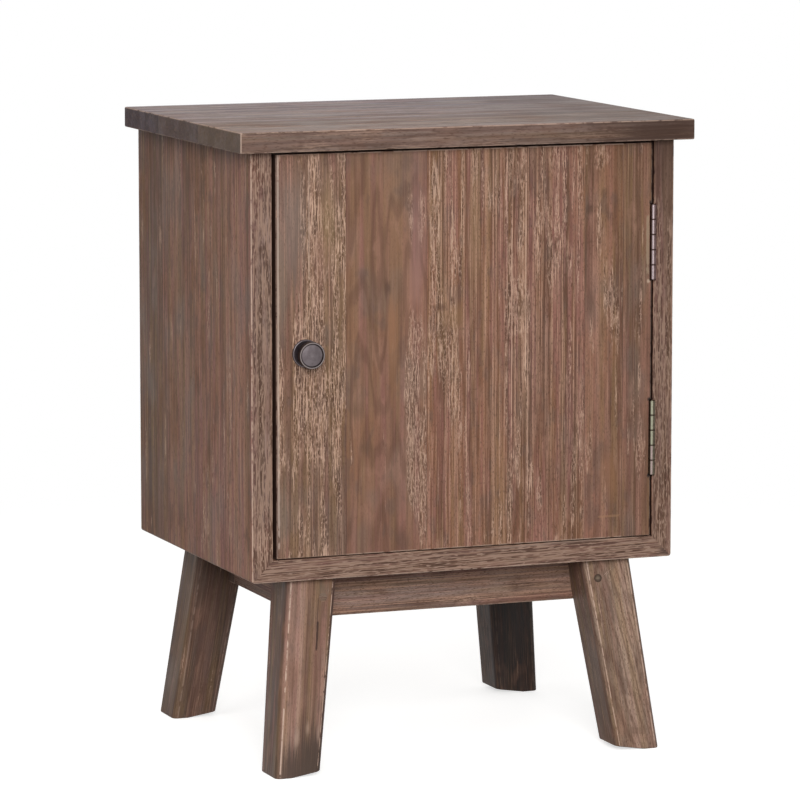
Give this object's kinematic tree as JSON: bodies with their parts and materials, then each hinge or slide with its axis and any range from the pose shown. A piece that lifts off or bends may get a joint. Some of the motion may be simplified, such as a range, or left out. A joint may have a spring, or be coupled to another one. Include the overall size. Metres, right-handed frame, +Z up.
{
  "type": "nightstand",
  "caption": "Small plank nightstand: one side-hung inset door with a turned metal knob, an overhanging top and four splayed tapered legs round an apron frame.",
  "frame": {"origin": "on the floor, under the middle of the whole outline, knob included", "axes": "+Z up, front towards -Y, +X to the right as seen from the front"},
  "size_m": [0.4, 0.3034, 0.53],
  "materials": {
    "top_wood": "brown wash over worn grain, satin",
    "side_wood": "brown wash over worn grain, satin",
    "bottom_wood": "brown wash over worn grain, satin",
    "door_wood": "brown wash with pale filled grain, satin",
    "leg_wood": "brown wash over worn grain, satin",
    "apron_wood": "greyed brown wash, satin",
    "plug_wood": "end grain plug, brown wash",
    "dowel_wood": "bare beech",
    "block_wood": "rough sawn, brown wash",
    "back_plywood": "plywood face, brown wash",
    "aged_hinge_steel": "aged plated steel",
    "antique_pewter": "antique pewter plating over cast zinc",
    "zinc_steel": "zinc plated steel",
    "catch_plastic": "brown moulded plastic",
    "ferrite_magnet": "dark sintered magnet"
  },
  "bodies": {
    "carcass": {"apron_back": "apron_wood", "apron_dowels": "dowel_wood", "apron_front": "apron_wood", "apron_left": "apron_wood", "apron_right": "apron_wood", "back_panel": "back_plywood", "back_panel_screws": "zinc_steel", "bottom_plank_back": "bottom_wood", "bottom_plank_front": "bottom_wood", "catch_housing": "catch_plastic", "catch_magnet": "ferrite_magnet", "catch_poles": "zinc_steel", "catch_screws": "zinc_steel", "corner_block_back_left": "block_wood", "corner_block_back_right": "block_wood", "corner_block_front_left": "block_wood", "corner_block_front_right": "block_wood", "corner_block_screws": "zinc_steel", "hinge_lower_pin": "aged_hinge_steel", "hinge_lower_side_leaf": "aged_hinge_steel", "hinge_screws_side": "zinc_steel", "hinge_upper_pin": "aged_hinge_steel", "hinge_upper_side_leaf": "aged_hinge_steel", "leg_back_left": "leg_wood", "leg_back_right": "leg_wood", "leg_front_left": "leg_wood", "leg_front_right": "leg_wood", "leg_plugs": "plug_wood", "leg_screws": "zinc_steel", "mitre_splines": "dowel_wood", "side_left_plank_back": "side_wood", "side_left_plank_front": "side_wood", "side_left_plank_middle": "side_wood", "side_right_plank_back": "side_wood", "side_right_plank_front": "side_wood", "side_right_plank_middle": "side_wood", "top_dowels": "dowel_wood", "top_plank_back": "top_wood", "top_plank_front": "top_wood", "top_plank_middle": "top_wood"},
    "door": {"door_plank_1": "door_wood", "door_plank_2": "door_wood", "door_plank_3": "door_wood", "door_plank_4": "door_wood", "door_plank_5": "door_wood", "door_plank_6": "door_wood", "hinge_lower_door_leaf": "aged_hinge_steel", "hinge_screws_door": "zinc_steel", "hinge_upper_door_leaf": "aged_hinge_steel", "knob": "antique_pewter", "knob_rose": "antique_pewter", "knob_screw": "zinc_steel", "knob_washer": "zinc_steel", "strike_plate": "zinc_steel", "strike_screw": "zinc_steel"}
  },
  "joints": [
    {"name": "door_hinge", "type": "hinge", "parent": "carcass", "child": "door", "pos_m": [0.16825, -0.13605, 0.34525], "axis": [0, 0, 1], "range_deg": [0, 180]}
  ]
}
